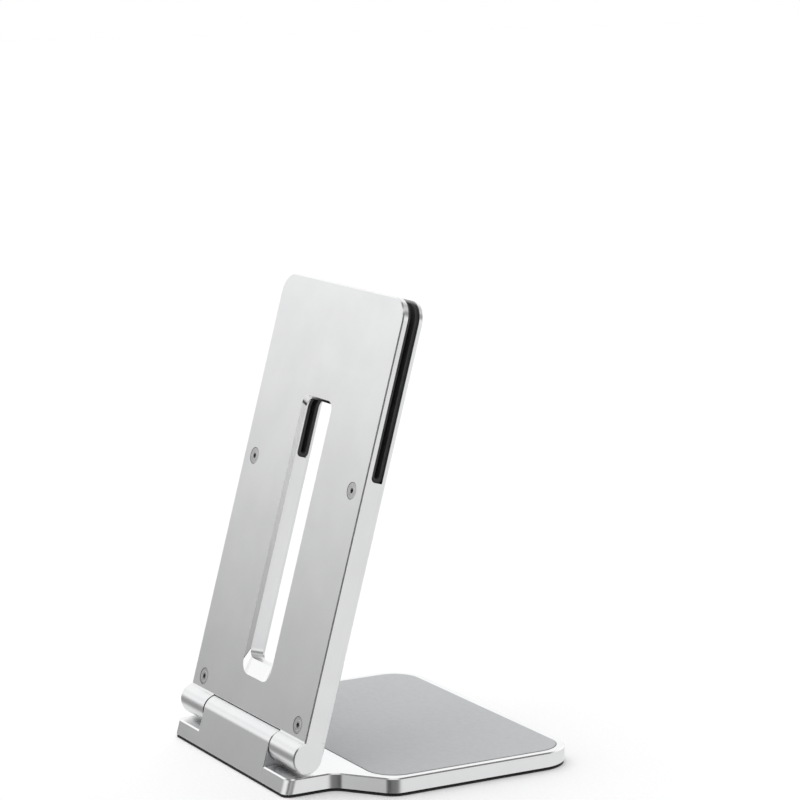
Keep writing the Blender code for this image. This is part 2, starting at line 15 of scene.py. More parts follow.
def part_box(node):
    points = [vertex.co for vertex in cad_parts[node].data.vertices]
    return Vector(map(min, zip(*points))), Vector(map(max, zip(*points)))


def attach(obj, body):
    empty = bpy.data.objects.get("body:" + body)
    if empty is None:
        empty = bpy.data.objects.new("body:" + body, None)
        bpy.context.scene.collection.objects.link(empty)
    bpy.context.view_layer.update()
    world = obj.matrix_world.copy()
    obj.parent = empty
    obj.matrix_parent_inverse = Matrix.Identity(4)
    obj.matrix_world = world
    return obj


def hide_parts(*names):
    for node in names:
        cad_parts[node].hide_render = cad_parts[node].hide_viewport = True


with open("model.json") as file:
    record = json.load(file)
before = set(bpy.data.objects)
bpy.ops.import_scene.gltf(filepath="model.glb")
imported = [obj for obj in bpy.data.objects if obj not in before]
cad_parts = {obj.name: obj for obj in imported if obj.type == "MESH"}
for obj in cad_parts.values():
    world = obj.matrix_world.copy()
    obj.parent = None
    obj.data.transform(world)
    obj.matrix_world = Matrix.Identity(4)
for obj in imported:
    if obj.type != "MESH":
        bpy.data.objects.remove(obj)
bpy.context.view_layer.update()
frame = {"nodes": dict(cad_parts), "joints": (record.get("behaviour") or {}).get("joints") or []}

MM = 0.001
GAP = 0.1 * MM
OVERSHOOT = 1 * MM
FAR = 20 * MM  # past the arm on both sides
LEAN = math.radians(15)
ARC_STEPS = 20
BARREL_STEPS = 96
HOLE_STEPS = 48
ROUND_STEPS = 64
MERGE_DISTANCE = 1e-6

# Where things are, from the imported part
HINGE = Vector(frame["joints"][0]["pos_m"])
BASE_LOW, BASE_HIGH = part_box("base_plate")
PAD_LOW, PAD_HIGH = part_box("base_top_pad")
FOOT_LOW, FOOT_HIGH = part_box("base_foot_sheet")
ARM_HALF_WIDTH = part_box("arm_frame")[1].x
BARREL_RADIUS = BASE_HIGH.z - HINGE.z
TO_ARM = Matrix.Translation(HINGE) @ Matrix.Rotation(LEAN, 4, "X")

# Base
BASE_THICKNESS = 6.7 * MM
BASE_TOP = BASE_LOW.z + BASE_THICKNESS
REAR_Y = -BASE_LOW.y  # the footprint is as deep behind the origin as in front of it
NECK_HALF_WIDTH = 52.2 * MM
NECK_FRONT = HINGE.y - 12.2 * MM
SHOULDER_REAR = HINGE.y - 29.2 * MM
FRONT_RADIUS = 16 * MM
SHOULDER_RADIUS = 9 * MM
NECK_RADIUS = 8 * MM
REAR_RADIUS = 4.2 * MM
RIM = 3.3 * MM
PAD_POCKET_DEPTH = 1.2 * MM
PAD_GAP = 0.3 * MM
BASE_CHAMFER = 0.5 * MM
KNUCKLE_HALF_WIDTH = 30.3 * MM
KNUCKLE_CHAMFER = 0.3 * MM

# Hinge bores
BASE_BORE = 4.45 * MM
SHAFT_BORE = 3.15 * MM
SHAFT_END_WALL = 3 * MM
SPRING_POCKET_RADIUS = 5.2 * MM
SPRING_POCKET_DEPTH = 14 * MM
CAP_SEAM = 0.2 * MM

# Arm, measured from the hinge axis
ARM_LENGTH = 190 * MM
ARM_REAR = 3 * MM
ARM_FRONT = -BARREL_RADIUS
ARM_CORNER_RADIUS = 9 * MM
ARM_CHAMFER = 0.5 * MM
KNUCKLE_FILLET = 1 * MM
WASHER_SPACE = 0.7 * MM
NOTCH_RADIUS = 7.05 * MM
PLATE_THICKNESS = 1.8 * MM
PLATE_FOOT = 6.9 * MM
PLATE_SEAM = 0.01 * MM
PLATE_OPENING_MARGIN = 1.6 * MM
JAW_THICKNESS = 2.4 * MM
SLOT_FLOOR = 115 * MM
SLOT_RADIUS = 2 * MM
LINER_THICKNESS = 1.5 * MM
LINER_MARGIN = 1 * MM
OPENING_HALF_WIDTH = 11.5 * MM
OPENING_BOTTOM = 27.9 * MM
OPENING_TOP = 140.4 * MM
OPENING_RADIUS = 4 * MM
FLARE_SIDE = 1.2 * MM
FLARE_BOTTOM = 7 * MM
FLARE_DEPTH = 1.7 * MM
FLARE_BOTTOM_RADIUS = 7.5 * MM
SLOT_REAR = ARM_REAR - JAW_THICKNESS
SLOT_FRONT = ARM_FRONT + PLATE_THICKNESS
ARM_KNUCKLE_START = KNUCKLE_HALF_WIDTH + WASHER_SPACE

# Screws
HEAD_RADIUS = 3.5 * MM
HEAD_DEPTH = 1.9 * MM
SHANK_RADIUS = 1.5 * MM
SCREW_CLEARANCE = 0.15 * MM
SCREW_LENGTH = 7.2 * MM
SOCKET_RADIUS = 1.2 * MM
SOCKET_DEPTH = 1.2 * MM
NUT_POCKET_RADIUS = 3.1 * MM
NUT_POCKET_HEIGHT = 2.3 * MM
PLATE_HOLE_RADIUS = 2.1 * MM  # the front plate's blind holes, each for the narrow end of a nut
PLATE_HOLE_DEPTH = 1.2 * MM


# ---------------------------------------------------------------- materials


NOISE_LOW, NOISE_HIGH = 0.3, 0.7  # most of a noise texture's values lie between these


def new_material(name):
    made = bpy.data.materials.new(name)
    made.use_nodes = True
    nodes = made.node_tree.nodes
    return made, nodes, made.node_tree.links, nodes["Principled BSDF"]


def noise(nodes, links, coordinates, scale, detail=2.0, stretch=(1, 1, 1)):
    """A noise texture in the piece's own metres, drawn out along an axis where stretch is small."""
    mapping = nodes.new("ShaderNodeMapping")
    mapping.inputs["Scale"].default_value = stretch
    texture = nodes.new("ShaderNodeTexNoise")
    texture.inputs["Scale"].default_value = scale
    texture.inputs["Detail"].default_value = detail
    links.new(coordinates, mapping.inputs["Vector"])
    links.new(mapping.outputs["Vector"], texture.inputs["Vector"])
    return texture.outputs["Fac"]


def spread(nodes, links, source, low, high, start=NOISE_LOW, end=NOISE_HIGH):
    """Maps a noise value onto the range from low to high."""
    node = nodes.new("ShaderNodeMapRange")
    node.inputs["From Min"].default_value = start
    node.inputs["From Max"].default_value = end
    node.inputs["To Min"].default_value = low
    node.inputs["To Max"].default_value = high
    links.new(source, node.inputs["Value"])
    return node.outputs["Result"]


def tint(nodes, links, source, dark, light):
    """Blends between two colours by a value."""
    ramp = nodes.new("ShaderNodeValToRGB")
    ramp.color_ramp.elements[0].position = NOISE_LOW
    ramp.color_ramp.elements[1].position = NOISE_HIGH
    ramp.color_ramp.elements[0].color = (*dark, 1)
    ramp.color_ramp.elements[1].color = (*light, 1)
    links.new(source, ramp.inputs["Fac"])
    return ramp.outputs["Color"]


def painted_cavity_shade(nodes, links, colour, reach, darkest):
    """Darkens a colour in seams, gaps and inner corners up to this reach: painted shade, taken from an ambient
    occlusion node, not a mark the surface has.
    """
    open_air = nodes.new("ShaderNodeAmbientOcclusion")
    open_air.samples = 6
    open_air.inputs["Distance"].default_value = reach
    shade = spread(nodes, links, open_air.outputs["AO"], darkest, 1.0, 0.0, 0.9)
    mix = nodes.new("ShaderNodeVectorMath")
    mix.operation = "MULTIPLY"
    links.new(colour, mix.inputs[0])
    links.new(shade, mix.inputs[1])
    return mix.outputs["Vector"]


def add_bump(nodes, links, shader, height, distance, strength):
    bump = nodes.new("ShaderNodeBump")
    bump.inputs["Distance"].default_value = distance
    bump.inputs["Strength"].default_value = strength
    links.new(height, bump.inputs["Height"])
    links.new(bump.outputs["Normal"], shader.inputs["Normal"])


def blasted_metal(name, dark, light, roughness, grain=2600):
    """Fine bead-blasted and anodised metal: an even satin with a sub-millimetre grain."""
    made, nodes, links, shader = new_material(name)
    shader.inputs["Metallic"].default_value = 1
    where = nodes.new("ShaderNodeTexCoord").outputs["Object"]
    cloud = noise(nodes, links, where, 55, 3)
    fine = noise(nodes, links, where, grain, 2)
    # Painted shade: the colour falls to 0.35 of itself in seams, gaps and inner corners within 2 mm.
    colour = painted_cavity_shade(nodes, links, tint(nodes, links, cloud, dark, light), 2 * MM, 0.35)
    links.new(colour, shader.inputs["Base Color"])
    links.new(spread(nodes, links, fine, roughness - 0.02, roughness + 0.02), shader.inputs["Roughness"])
    add_bump(nodes, links, shader, fine, 0.004 * MM, 0.12)
    return made


def cut_metal(name, dark, light, roughness):
    """Metal left bright by a cutter, with fine lines that run along the piece."""
    made, nodes, links, shader = new_material(name)
    shader.inputs["Metallic"].default_value = 1
    where = nodes.new("ShaderNodeTexCoord").outputs["Object"]
    lines = noise(nodes, links, where, 3000, 2, (0.02, 1, 0.05))
    # Painted shade: the colour falls to 0.3 of itself in seams, gaps and inner corners within 2 mm.
    colour = painted_cavity_shade(nodes, links, tint(nodes, links, lines, dark, light), 2 * MM, 0.3)
    links.new(colour, shader.inputs["Base Color"])
    links.new(spread(nodes, links, lines, roughness - 0.04, roughness + 0.04), shader.inputs["Roughness"])
    add_bump(nodes, links, shader, lines, 0.004 * MM, 0.2)
    return made


def turned_metal(name, dark, light, roughness, pitch=0.12 * MM):
    """Turned metal: fine rings about the piece's own Z axis."""
    made, nodes, links, shader = new_material(name)
    shader.inputs["Metallic"].default_value = 1
    where = nodes.new("ShaderNodeTexCoord").outputs["Object"]
    rings = nodes.new("ShaderNodeTexWave")
    rings.wave_type = "RINGS"
    rings.rings_direction = "Z"
    rings.inputs["Scale"].default_value = 1 / pitch / 20
    rings.inputs["Distortion"].default_value = 0.6
    links.new(where, rings.inputs["Vector"])
    speck = noise(nodes, links, where, 1800, 2)
    # Painted shade: the colour falls to 0.1 of itself in gaps and inner corners within 1 mm, such as round the screw
    # heads.
    colour = painted_cavity_shade(nodes, links, tint(nodes, links, speck, dark, light), 1 * MM, 0.1)
    links.new(colour, shader.inputs["Base Color"])
    links.new(
        spread(nodes, links, rings.outputs["Fac"], roughness - 0.06, roughness + 0.06, 0, 1),
        shader.inputs["Roughness"],
    )
    add_bump(nodes, links, shader, rings.outputs["Fac"], 0.01 * MM, 0.5)
    return made


def soft_polymer(name, dark, light, roughness, grain, depth):
    """Matt silicone or rubber: a fine moulded grain over a faint mottle."""
    made, nodes, links, shader = new_material(name)
    where = nodes.new("ShaderNodeTexCoord").outputs["Object"]
    mottle = noise(nodes, links, where, 420, 4)
    fine = noise(nodes, links, where, grain, 3)
    # Painted shade: the colour falls to 0.15 of itself in gaps and inner corners within 1 mm, such as the pad's
    # sides in its pocket.
    colour = painted_cavity_shade(nodes, links, tint(nodes, links, mottle, dark, light), 1 * MM, 0.15)
    links.new(colour, shader.inputs["Base Color"])
    links.new(spread(nodes, links, fine, roughness - 0.06, roughness + 0.06), shader.inputs["Roughness"])
    shader.inputs["Specular IOR Level"].default_value = 0.35
    add_bump(nodes, links, shader, fine, depth, 0.6)
    return made


BLASTED = blasted_metal("blasted_aluminium", (0.80, 0.805, 0.81), (0.84, 0.845, 0.85), 0.3)
CUT = cut_metal("cut_aluminium", (0.84, 0.845, 0.85), (0.88, 0.88, 0.88), 0.2)
STEEL = turned_metal("turned_steel", (0.50, 0.50, 0.50), (0.60, 0.60, 0.60), 0.32)
BRONZE = turned_metal("oiled_bronze", (0.36, 0.22, 0.11), (0.48, 0.31, 0.17), 0.42)
PAD_SILICONE = soft_polymer("pad_silicone", (0.46, 0.47, 0.48), (0.49, 0.50, 0.51), 0.72, 2200, 0.03 * MM)
LINER_SILICONE = soft_polymer("liner_silicone", (0.028, 0.028, 0.03), (0.04, 0.04, 0.042), 0.6, 1600, 0.04 * MM)
FOOT_RUBBER = soft_polymer("foot_rubber", (0.014, 0.014, 0.014), (0.022, 0.022, 0.022), 0.75, 1200, 0.06 * MM)
NYLON = soft_polymer("washer_nylon", (0.02, 0.02, 0.021), (0.034, 0.034, 0.035), 0.45, 1400, 0.02 * MM)


# ---------------------------------------------------------------- mesh tools


def rounded(corners, steps=ARC_STEPS):
    """The closed outline through these (u, v, radius) corners, with an arc of that radius at each."""
    outline = []
    for index, (u, v, radius) in enumerate(corners):
        before = corners[index - 1]
        after = corners[(index + 1) % len(corners)]
        if radius == 0:
            outline.append((u, v))
            continue
        to_before = math.atan2(before[1] - v, before[0] - u)
        to_after = math.atan2(after[1] - v, after[0] - u)
        opening = (to_after - to_before) % math.tau
        turn = 1 if opening < math.pi else -1
        half = (opening if turn == 1 else math.tau - opening) / 2
        middle = to_before + turn * half
        centre_u = u + radius / math.sin(half) * math.cos(middle)
        centre_v = v + radius / math.sin(half) * math.sin(middle)
        sweep = math.pi - 2 * half
        start = middle + math.pi + turn * sweep / 2
        for step in range(steps + 1):
            angle = start - turn * sweep * step / steps
            outline.append((centre_u + radius * math.cos(angle), centre_v + radius * math.sin(angle)))
    return outline


def box_corners(low_u, low_v, high_u, high_v, low_radius, high_radius):
    """A rectangle's corners, with one radius at its low edge and another at its high edge."""
    return [
        (low_u, low_v, low_radius),
        (high_u, low_v, low_radius),
        (high_u, high_v, high_radius),
        (low_u, high_v, high_radius),
    ]


def inset(outline, amount):
    """The outline moved inwards by this much everywhere, with mitred corners."""
    area = sum(a[0] * b[1] - b[0] * a[1] for a, b in zip(outline, outline[1:] + outline[:1]))
    side = 1 if area > 0 else -1
    moved = []
    for index, point in enumerate(outline):
        here = Vector(point)
        into = (here - Vector(outline[index - 1])).normalized()
        away = (Vector(outline[(index + 1) % len(outline)]) - here).normalized()
        along = (into + away).normalized()
        across = Vector((-along.y, along.x)) * side
        moved.append(tuple(here + across * amount / max(0.3, along.dot(into))))
    return moved


# How a ring's (u, v, w) point lies in space for a solid drawn in each plane.
PLANES = {
    "XY": lambda u, v, w: (u, v, w),
    "XZ": lambda u, v, w: (u, w, v),
    "YZ": lambda u, v, w: (w, u, v),
}


def loft(name, rings, plane="XY", materials=(BLASTED, CUT), cut_bands=()):
    """A closed solid through rings of (outline, w), with flat ends. cut_bands lists the bands left by a cutter."""
    mesh = bpy.data.meshes.new(name)
    edit = bmesh.new()
    place = PLANES[plane]
    loops = [[edit.verts.new(place(u, v, w)) for u, v in outline] for outline, w in rings]
    for band, (lower, upper) in enumerate(zip(loops, loops[1:])):
        for index in range(len(lower)):
            after = (index + 1) % len(lower)
            face = edit.faces.new((lower[index], lower[after], upper[after], upper[index]))
            face.material_index = 1 if band in cut_bands else 0
    edit.faces.new(loops[0])
    edit.faces.new(loops[-1])
    bmesh.ops.recalc_face_normals(edit, faces=edit.faces)
    edit.to_mesh(mesh)
    edit.free()
    made = bpy.data.objects.new(name, mesh)
    bpy.context.scene.collection.objects.link(made)
    for finish in materials:
        mesh.materials.append(finish)
    return made


def prism(name, outline, low, high, plane="XY", materials=(BLASTED, CUT)):
    return loft(name, [(outline, low), (outline, high)], plane, materials)


def chamfered_prism(name, outline, low, high, chamfer, plane="XY", ends="both", materials=(BLASTED, CUT)):
    """A prism with a cut chamfer round its low end, its high end, or both."""
    smaller = inset(outline, chamfer)
    rings = []
    if ends in ("both", "low"):
        rings += [(smaller, low), (outline, low + chamfer)]
    else:
        rings += [(outline, low)]
    cut_bands = [0] if len(rings) == 2 else []
    if ends in ("both", "high"):
        cut_bands.append(len(rings))
        rings += [(outline, high - chamfer), (smaller, high)]
    else:
        rings += [(outline, high)]
    return loft(name, rings, plane, materials, cut_bands)


def turned(name, profile, steps, materials=(BLASTED, CUT), cut_bands=()):
    """A profile of (radius, z) points, from its low end to its high end, turned about Z as one closed solid."""
    turns = [math.tau * i / steps for i in range(steps)]
    rings = [
        ([(radius * math.cos(turn), radius * math.sin(turn)) for turn in turns], z)
        for radius, z in profile
    ]
    return loft(name, rings, "XY", materials, cut_bands)


def along_hinge(obj):
    """Lays a turned piece along the hinge's axis, so that its Z runs along X."""
    obj.data.transform(Matrix.Rotation(math.pi / 2, 4, "Y"))
    return obj


helpers = []


def join_by(obj, other, operation="DIFFERENCE"):
    modifier = obj.modifiers.new(other.name, "BOOLEAN")
    modifier.operation = operation
    modifier.object = other
    helpers.append(other)


def settle(obj):
    """Applies the piece's modifiers, removes the helpers and welds what they left."""
    graph = bpy.context.evaluated_depsgraph_get()
    mesh = bpy.data.meshes.new_from_object(obj.evaluated_get(graph))
    obj.modifiers.clear()
    obj.data = mesh
    while helpers:
        bpy.data.objects.remove(helpers.pop())
    edit = bmesh.new()
    edit.from_mesh(mesh)
    bmesh.ops.remove_doubles(edit, verts=edit.verts, dist=2 * MERGE_DISTANCE)
    bmesh.ops.dissolve_degenerate(edit, edges=edit.edges, dist=MERGE_DISTANCE)
    edit.to_mesh(mesh)
    edit.free()
    return obj


def smooth(obj, angle=12):
    """Smooth shading that keeps flat faces flat and creases sharp."""
    obj.data.shade_smooth()
    obj.data.set_sharp_from_angle(angle=math.radians(angle))
    weighted = obj.modifiers.new("flat_faces", "WEIGHTED_NORMAL")
    weighted.keep_sharp = True
    weighted.weight = 100
    return obj


def finish_piece(obj, body, slot, *nodes, matrix=None):
    """Smooths a piece, puts it in place on its body and lets it stand for these CAD nodes."""
    smooth(obj)
    if matrix:
        obj.data.transform(matrix)
    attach(obj, body)
    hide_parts(*nodes)
    return obj


# ---------------------------------------------------------------- base


def base_outline():
    half = BASE_HIGH.x
    right = [
        (NECK_HALF_WIDTH, REAR_Y, REAR_RADIUS),
        (NECK_HALF_WIDTH, NECK_FRONT, NECK_RADIUS),
        (half, SHOULDER_REAR, SHOULDER_RADIUS),
        (half, BASE_LOW.y, FRONT_RADIUS),
    ]
    return rounded([(-x, y, radius) for x, y, radius in reversed(right)] + right)


def lean_back_edge(obj):
    """Slopes the base's rear edge forward as it rises, in line with the leaning arm."""
    for vertex in obj.data.vertices:
        if vertex.co.y > REAR_Y - 3 * REAR_RADIUS:
            vertex.co.y -= (vertex.co.z - BASE_LOW.z) * math.tan(LEAN)


def pad_outline(gap=0.0):
    radius = FRONT_RADIUS - RIM - gap
    grow = PAD_GAP - gap
    return rounded(
        box_corners(PAD_LOW.x - grow, PAD_LOW.y - grow, PAD_HIGH.x + grow, PAD_HIGH.y + grow, radius, radius)
    )


def riser_outline():
    """Side view of the base's knuckle: a rear face that leans with the arm, a barrel, and an upright front."""
    sunk = BASE_LOW.z + BASE_THICKNESS / 2
    rear_foot = (
        HINGE.y
        + BARREL_RADIUS * math.cos(LEAN)
        + (HINGE.z + BARREL_RADIUS * math.sin(LEAN) - sunk) * math.tan(LEAN)
    )
    outline = [(HINGE.y - BARREL_RADIUS, sunk), (rear_foot, sunk)]
    for step in range(BARREL_STEPS // 2 + 1):
        angle = LEAN + (math.pi - LEAN) * step / (BARREL_STEPS // 2)
        outline.append((HINGE.y + BARREL_RADIUS * math.cos(angle), HINGE.z + BARREL_RADIUS * math.sin(angle)))
    inside = 0.005 * MM
    return [(y - inside, z) for y, z in outline]


def make_base():
    body = chamfered_prism("base_body", base_outline(), BASE_LOW.z, BASE_TOP, BASE_CHAMFER)
    lean_back_edge(body)
    riser = chamfered_prism(
        "riser", riser_outline(), -KNUCKLE_HALF_WIDTH, KNUCKLE_HALF_WIDTH, KNUCKLE_CHAMFER, "YZ"
    )
    join_by(body, riser, "UNION")
    pocket = prism("pad_pocket", pad_outline(), BASE_TOP - PAD_POCKET_DEPTH, BASE_TOP + OVERSHOOT)
    join_by(body, pocket)
    reach = KNUCKLE_HALF_WIDTH + OVERSHOOT
    bore = along_hinge(turned("base_bore", [(BASE_BORE, -reach), (BASE_BORE, reach)], BARREL_STEPS))
    bore.data.transform(Matrix.Translation(HINGE))
    join_by(body, bore)
    finish_piece(settle(body), "base", "satin_aluminium", "base_plate")

    edge = 0.08 * MM
    outline = pad_outline(PAD_GAP)
    pad = loft(
        "base_pad",
        [
            (outline, PAD_LOW.z),
            (outline, PAD_HIGH.z - edge),
            (inset(outline, edge * 0.3), PAD_HIGH.z - edge * 0.3),
            (inset(outline, edge), PAD_HIGH.z),
        ],
        materials=(PAD_SILICONE,),
    )
    finish_piece(pad, "base", "grey_silicone", "base_top_pad")

    foot_outline = inset(base_outline(), BASE_HIGH.x - FOOT_HIGH.x)
    edge = 0.15 * MM
    foot = loft(
        "foot_sheet",
        [
            (inset(foot_outline, edge), FOOT_LOW.z),
            (foot_outline, FOOT_LOW.z + edge),
            (foot_outline, FOOT_HIGH.z - edge),
            (inset(foot_outline, edge), FOOT_HIGH.z),
        ],
        materials=(FOOT_RUBBER,),
    )
    finish_piece(foot, "base", "black_rubber", "base_foot_sheet")


# ---------------------------------------------------------------- arm


def arm_side_outline():
    """Side view of the arm with its front plate, (y, z): a barrel at its foot and a fillet into the rear face."""
    fillet_y = ARM_REAR + KNUCKLE_FILLET
    fillet_reach = BARREL_RADIUS + KNUCKLE_FILLET
    rear_angle = math.acos(fillet_y / fillet_reach)
    fillet_z = fillet_reach * math.sin(rear_angle)
    outline = []
    steps = BARREL_STEPS * 5 // 8
    for step in range(steps + 1):
        angle = math.pi + (math.pi + rear_angle) * step / steps
        outline.append((BARREL_RADIUS * math.cos(angle), BARREL_RADIUS * math.sin(angle)))
    fillet_steps = 8
    for step in range(1, fillet_steps + 1):
        angle = math.pi + rear_angle * (1 - step / fillet_steps)
        outline.append((fillet_y + KNUCKLE_FILLET * math.cos(angle), fillet_z + KNUCKLE_FILLET * math.sin(angle)))
    return outline + [(ARM_REAR, ARM_LENGTH + OVERSHOOT), (ARM_FRONT, ARM_LENGTH + OVERSHOOT)]


def face_outline(bottom, margin=0.0):
    """The arm seen square on, from this height to its rounded top."""
    half = ARM_HALF_WIDTH - margin
    return rounded(box_corners(-half, bottom, half, ARM_LENGTH - margin, 0, ARM_CORNER_RADIUS - margin))


def opening_outline(side=0.0, bottom=0.0, bottom_radius=OPENING_RADIUS):
    """The cable opening, widened by this much at its sides and at its lower end."""
    half = OPENING_HALF_WIDTH + side
    top = OPENING_TOP + side
    return rounded(box_corners(-half, OPENING_BOTTOM - bottom, half, top, bottom_radius, OPENING_RADIUS))


def notch_section():
    """Side view of the notch: it clears all below the hinge and curves over the base's knuckle behind it."""
    steps = BARREL_STEPS // 4
    arc = [
        (NOTCH_RADIUS * math.cos(math.pi / 2 * step / steps), NOTCH_RADIUS * math.sin(math.pi / 2 * step / steps))
        for step in range(steps + 1)
    ]
    return [(-FAR, -FAR), (FAR, -FAR), (FAR, 0), *arc, (-FAR, NOTCH_RADIUS)]


def screw_places():
    """Each screw's name and its axis in the arm's own frame, as (x, z)."""
    from_world = TO_ARM.inverted()
    for level in ("upper", "lower"):
        for side in ("left", "right"):
            name = f"arm_screw_{level}_{side}"
            low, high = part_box(name)
            centre = from_world @ ((low + high) / 2)
            yield name, centre.x, centre.z


def to_rear(x, z):
    """The move that puts a piece turned about Z at this place, square to the arm, with its upper end to the rear."""
    return Matrix.Translation((x, 0, z)) @ Matrix.Rotation(-math.pi / 2, 4, "X")


def facing_rear(obj, x, z):
    obj.data.transform(to_rear(x, z))
    return obj


def screw_hole(name, x, z):
    neck = ARM_REAR - HEAD_DEPTH
    wide = HEAD_RADIUS + SCREW_CLEARANCE
    narrow = SHANK_RADIUS + SCREW_CLEARANCE
    profile = [
        (narrow, SLOT_FRONT - OVERSHOOT),
        (narrow, neck),
        (wide, ARM_REAR - 0.3 * MM),
        (wide, ARM_REAR + OVERSHOOT),
    ]
    return facing_rear(turned(f"hole_{name}", profile, HOLE_STEPS), x, z)


def make_arm_body():
    reach = ARM_HALF_WIDTH + OVERSHOOT
    body = prism("arm_body", arm_side_outline(), -reach, reach, "YZ")
    join_by(body, prism("face", face_outline(-BARREL_RADIUS - OVERSHOOT), -FAR, FAR, "XZ"), "INTERSECT")
    weld = body.modifiers.new("weld", "WELD")
    weld.merge_threshold = MERGE_DISTANCE
    bevel = body.modifiers.new("edge_chamfer", "BEVEL")
    bevel.width = ARM_CHAMFER
    bevel.segments = 1
    bevel.limit_method = "ANGLE"
    bevel.angle_limit = math.radians(50)
    bevel.use_clamp_overlap = False
    bevel.material = 1
    slot = rounded(
        [
            (SLOT_FRONT - OVERSHOOT, ARM_LENGTH + OVERSHOOT, 0),
            (SLOT_FRONT - OVERSHOOT, SLOT_FLOOR, 0),
            (SLOT_REAR, SLOT_FLOOR, SLOT_RADIUS),
            (SLOT_REAR, ARM_LENGTH + OVERSHOOT, 0),
        ]
    )
    join_by(body, prism("slot", slot, -reach, reach, "YZ"))
    rebate = [
        (ARM_FRONT - OVERSHOOT, PLATE_FOOT),
        (SLOT_FRONT + GAP, PLATE_FOOT),
        (SLOT_FRONT + GAP, ARM_LENGTH + OVERSHOOT),
        (ARM_FRONT - OVERSHOOT, ARM_LENGTH + OVERSHOOT),
    ]
    join_by(body, prism("rebate", rebate, -reach, reach, "YZ"))
    join_by(body, prism("notch", notch_section(), -ARM_KNUCKLE_START, ARM_KNUCKLE_START, "YZ"))
    join_by(body, prism("opening", opening_outline(), -FAR, FAR, "XZ"))
    slope = OVERSHOOT / FLARE_DEPTH
    mouth = opening_outline(FLARE_SIDE * (1 + slope), FLARE_BOTTOM * (1 + slope), FLARE_BOTTOM_RADIUS)
    rings = [(opening_outline(), ARM_REAR - FLARE_DEPTH), (mouth, ARM_REAR + OVERSHOOT)]
    join_by(body, loft("flare", rings, "XZ", cut_bands=(0,)))
    shaft = [(SHAFT_BORE, SHAFT_END_WALL - ARM_HALF_WIDTH), (SHAFT_BORE, reach)]
    join_by(body, along_hinge(turned("shaft_bore", shaft, ROUND_STEPS)))
    pocket = [(SPRING_POCKET_RADIUS, ARM_HALF_WIDTH - SPRING_POCKET_DEPTH), (SPRING_POCKET_RADIUS, reach)]
    join_by(body, along_hinge(turned("spring_pocket", pocket, BARREL_STEPS)))
    for name, x, z in screw_places():
        join_by(body, screw_hole(name, x, z))
        ends = (SLOT_FRONT - OVERSHOOT, SLOT_FRONT + NUT_POCKET_HEIGHT)
        pocket = turned(f"nut_pocket_{name}", [(NUT_POCKET_RADIUS, y) for y in ends], HOLE_STEPS)
        join_by(body, facing_rear(pocket, x, z))
    finish_piece(settle(body), "arm", "satin_aluminium", "arm_frame", matrix=TO_ARM)


def make_front_cover():
    outline = face_outline(PLATE_FOOT + GAP)
    closed = SLOT_FRONT + GAP - PLATE_SEAM
    cover = chamfered_prism("front_cover", outline, ARM_FRONT, closed, ARM_CHAMFER, "XZ", "low")
    opening = opening_outline(PLATE_OPENING_MARGIN, PLATE_OPENING_MARGIN)
    join_by(cover, prism("cover_opening", opening, -FAR, FAR, "XZ"))
    for name, x, z in screw_places():
        ends = (SLOT_FRONT - PLATE_HOLE_DEPTH, SLOT_FRONT + OVERSHOOT)
        hole = turned(f"cover_{name}", [(PLATE_HOLE_RADIUS, y) for y in ends], HOLE_STEPS)
        join_by(cover, facing_rear(hole, x, z))
    finish_piece(settle(cover), "arm", "satin_aluminium", "arm_front_plate", matrix=TO_ARM)


def make_liner():
    """The strip folded into the slot: a leg on each jaw, a rounded floor, and rounded free edges."""
    rear = SLOT_REAR - GAP
    front = SLOT_FRONT + GAP
    top = ARM_LENGTH - LINER_MARGIN
    floor = SLOT_FLOOR + GAP
    inner = ((rear - front) / 2 - LINER_THICKNESS) * 0.98
    lip = LINER_THICKNESS * 0.3
    section = rounded(
        [
            (front, top, lip),
            (front, floor, SLOT_RADIUS),
            (rear, floor, SLOT_RADIUS),
            (rear, top, lip),
            (rear - LINER_THICKNESS, top, lip),
            (rear - LINER_THICKNESS, floor + LINER_THICKNESS, inner),
            (front + LINER_THICKNESS, floor + LINER_THICKNESS, inner),
            (front + LINER_THICKNESS, top, lip),
        ],
        8,
    )
    half = ARM_HALF_WIDTH - 0.2 * MM
    liner = chamfered_prism("slot_lining", section, -half, half, 0.2 * MM, "YZ", "both", (LINER_SILICONE,))
    trim = face_outline(SLOT_FLOOR - 5 * MM, LINER_MARGIN)
    join_by(liner, prism("liner_face", trim, -FAR, FAR, "XZ", (LINER_SILICONE,)), "INTERSECT")
    hole = opening_outline(0.3 * MM)
    join_by(liner, prism("liner_opening", hole, -FAR, FAR, "XZ", (LINER_SILICONE,)))
    finish_piece(settle(liner), "arm", "dark_silicone", "slot_liner", matrix=TO_ARM)


def make_screws():
    """Countersunk screws with a flat rim, a shallow turned groove and a socket."""
    head = ARM_REAR - 0.1 * MM
    tip = head - SCREW_LENGTH
    groove = 2.3 * MM
    groove_depth = 0.12 * MM
    profile = [
        (SHANK_RADIUS - 0.4 * MM, tip),
        (SHANK_RADIUS, tip + 0.4 * MM),
        (SHANK_RADIUS, head - HEAD_DEPTH),
        (HEAD_RADIUS, head - 0.35 * MM),
        (HEAD_RADIUS, head - 0.12 * MM),
        (HEAD_RADIUS - 0.12 * MM, head),
        (groove + 0.15 * MM, head),
        (groove, head - groove_depth),
        (groove - 0.1 * MM, head - groove_depth),
        (groove - 0.3 * MM, head - 0.02 * MM),
    ]
    for name, x, z in screw_places():
        screw = turned(name.replace("arm_", "fine_"), profile, ROUND_STEPS, (STEEL, STEEL))
        socket = turned("socket", [(SOCKET_RADIUS, head - SOCKET_DEPTH), (SOCKET_RADIUS, head + OVERSHOOT)], 6)
        join_by(screw, socket)
        settle(screw)
        smooth(screw)
        screw.matrix_world = TO_ARM @ to_rear(x, z)
        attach(screw, "arm")
        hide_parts(name)


